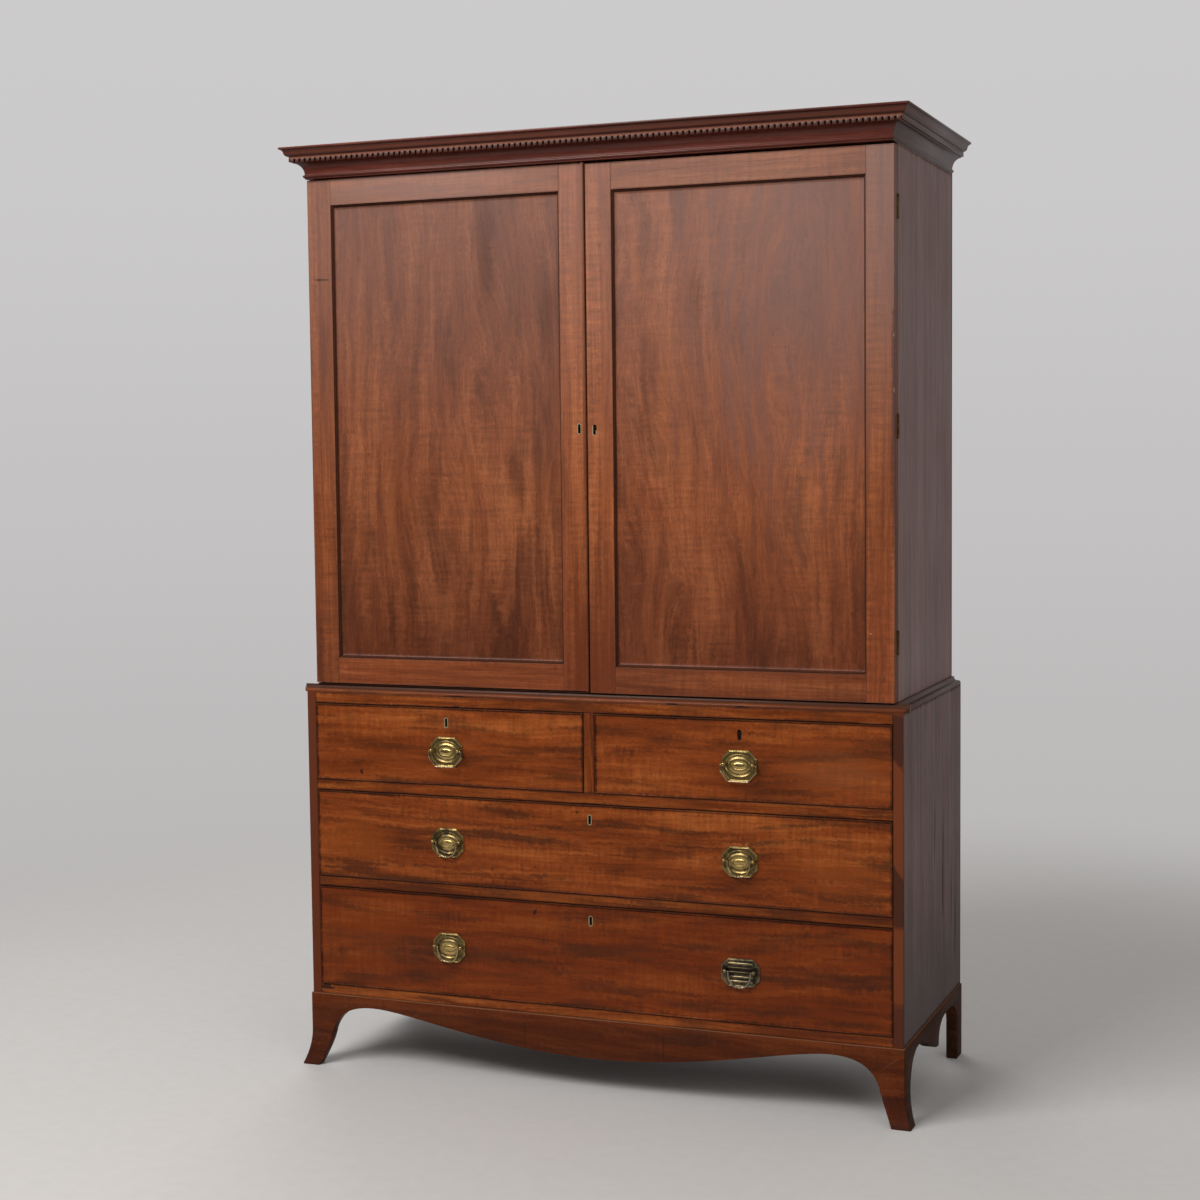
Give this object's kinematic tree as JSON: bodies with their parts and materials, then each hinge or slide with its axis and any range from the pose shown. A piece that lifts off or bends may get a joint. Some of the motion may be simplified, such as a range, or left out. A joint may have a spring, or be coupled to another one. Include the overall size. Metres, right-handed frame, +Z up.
{
  "type": "linen press wardrobe",
  "caption": "Two-part mahogany linen press: panelled doors under a dentil cornice, over cockbeaded drawers with brass bail handles, on splayed bracket feet; stores clothes and linen.",
  "frame": {"origin": "on the floor, under the middle of the bounding box", "axes": "+Z up, +X to the right seen from the front, front towards -Y"},
  "size_m": [1.341, 0.572, 1.9578],
  "materials": {
    "mahogany": "french polished, worn",
    "dark_mahogany": "dark polish, worn",
    "faded_mahogany": "sun-faded polish",
    "drawer_lining": "bare planed",
    "pine": "bare planed",
    "brass": "aged, rubbed",
    "bronzed_brass": "dark bronzed"
  },
  "bodies": {
    "case": {"upper_left_side": "faded_mahogany", "upper_right_side": "faded_mahogany", "upper_top_board": "pine", "upper_bottom_board": "pine", "upper_back_panel": "pine", "cornice_front": "dark_mahogany", "cornice_left": "dark_mahogany", "cornice_right": "dark_mahogany", "hanging_rail": "brass", "rail_socket_left": "brass", "rail_socket_right": "brass", "waist_moulding": "mahogany", "lower_left_side": "faded_mahogany", "lower_right_side": "faded_mahogany", "lower_top_board": "mahogany", "lower_bottom_board": "mahogany", "lower_back_panel": "pine", "upper_dustboard": "mahogany", "lower_dustboard": "mahogany", "drawer_muntin": "mahogany", "base_apron": "mahogany", "base_left_bracket": "dark_mahogany", "base_right_bracket": "dark_mahogany", "left_door_hinge_top": "brass", "left_door_hinge_middle": "brass", "left_door_hinge_bottom": "brass", "right_door_hinge_top": "brass", "right_door_hinge_middle": "brass", "right_door_hinge_bottom": "brass"},
    "left_door": {"left_door_hinge_stile": "mahogany", "left_door_meeting_stile": "mahogany", "left_door_top_rail": "mahogany", "left_door_bottom_rail": "mahogany", "left_door_panel": "mahogany", "door_astragal": "mahogany"},
    "right_door": {"right_door_hinge_stile": "mahogany", "right_door_meeting_stile": "mahogany", "right_door_top_rail": "mahogany", "right_door_bottom_rail": "mahogany", "right_door_panel": "mahogany"},
    "top_left_drawer": {"top_left_drawer_front": "mahogany", "top_left_drawer_box": "drawer_lining", "top_left_plate": "brass"},
    "top_right_drawer": {"top_right_drawer_front": "mahogany", "top_right_drawer_box": "drawer_lining", "top_right_plate": "brass"},
    "middle_drawer": {"middle_drawer_front": "mahogany", "middle_drawer_box": "drawer_lining", "middle_left_plate": "brass", "middle_right_plate": "brass"},
    "bottom_drawer": {"bottom_drawer_front": "mahogany", "bottom_drawer_box": "drawer_lining", "bottom_left_plate": "brass", "bottom_right_plate": "bronzed_brass"},
    "top_left_bail": {"top_left_bail": "brass"},
    "top_right_bail": {"top_right_bail": "brass"},
    "middle_left_bail": {"middle_left_bail": "brass"},
    "middle_right_bail": {"middle_right_bail": "brass"},
    "bottom_left_bail": {"bottom_left_bail": "brass"},
    "bottom_right_bail": {"bottom_right_bail": "bronzed_brass"}
  },
  "joints": [
    {"name": "left_door_hinge", "type": "hinge", "parent": "case", "child": "left_door", "pos_m": [-0.6317, -0.2114, 1.36], "axis": [0, 0, -1], "range_deg": [0, 170]},
    {"name": "right_door_hinge", "type": "hinge", "parent": "case", "child": "right_door", "pos_m": [0.6317, -0.2114, 1.36], "axis": [0, 0, 1], "range_deg": [0, 170]},
    {"name": "top_left_drawer_slide", "type": "slide", "parent": "case", "child": "top_left_drawer", "axis": [0, -1, 0], "range_m": [0, 0.4]},
    {"name": "top_right_drawer_slide", "type": "slide", "parent": "case", "child": "top_right_drawer", "axis": [0, -1, 0], "range_m": [0, 0.4]},
    {"name": "middle_drawer_slide", "type": "slide", "parent": "case", "child": "middle_drawer", "axis": [0, -1, 0], "range_m": [0, 0.4]},
    {"name": "bottom_drawer_slide", "type": "slide", "parent": "case", "child": "bottom_drawer", "axis": [0, -1, 0], "range_m": [0, 0.4]},
    {"name": "top_left_bail_swing", "type": "hinge", "parent": "top_left_drawer", "child": "top_left_bail", "pos_m": [-0.32075, -0.257, 0.6965], "axis": [-1, 0, 0], "range_deg": [0, 100]},
    {"name": "top_right_bail_swing", "type": "hinge", "parent": "top_right_drawer", "child": "top_right_bail", "pos_m": [0.32075, -0.257, 0.6965], "axis": [-1, 0, 0], "range_deg": [0, 100]},
    {"name": "middle_left_bail_swing", "type": "hinge", "parent": "middle_drawer", "child": "middle_left_bail", "pos_m": [-0.32075, -0.257, 0.504], "axis": [-1, 0, 0], "range_deg": [0, 100]},
    {"name": "middle_right_bail_swing", "type": "hinge", "parent": "middle_drawer", "child": "middle_right_bail", "pos_m": [0.32075, -0.257, 0.504], "axis": [-1, 0, 0], "range_deg": [0, 100]},
    {"name": "bottom_left_bail_swing", "type": "hinge", "parent": "bottom_drawer", "child": "bottom_left_bail", "pos_m": [-0.32075, -0.257, 0.28125], "axis": [-1, 0, 0], "range_deg": [0, 100]},
    {"name": "bottom_right_bail_swing", "type": "hinge", "parent": "bottom_drawer", "child": "bottom_right_bail", "pos_m": [0.32075, -0.257, 0.28125], "axis": [-1, 0, 0], "range_deg": [0, 100]}
  ]
}
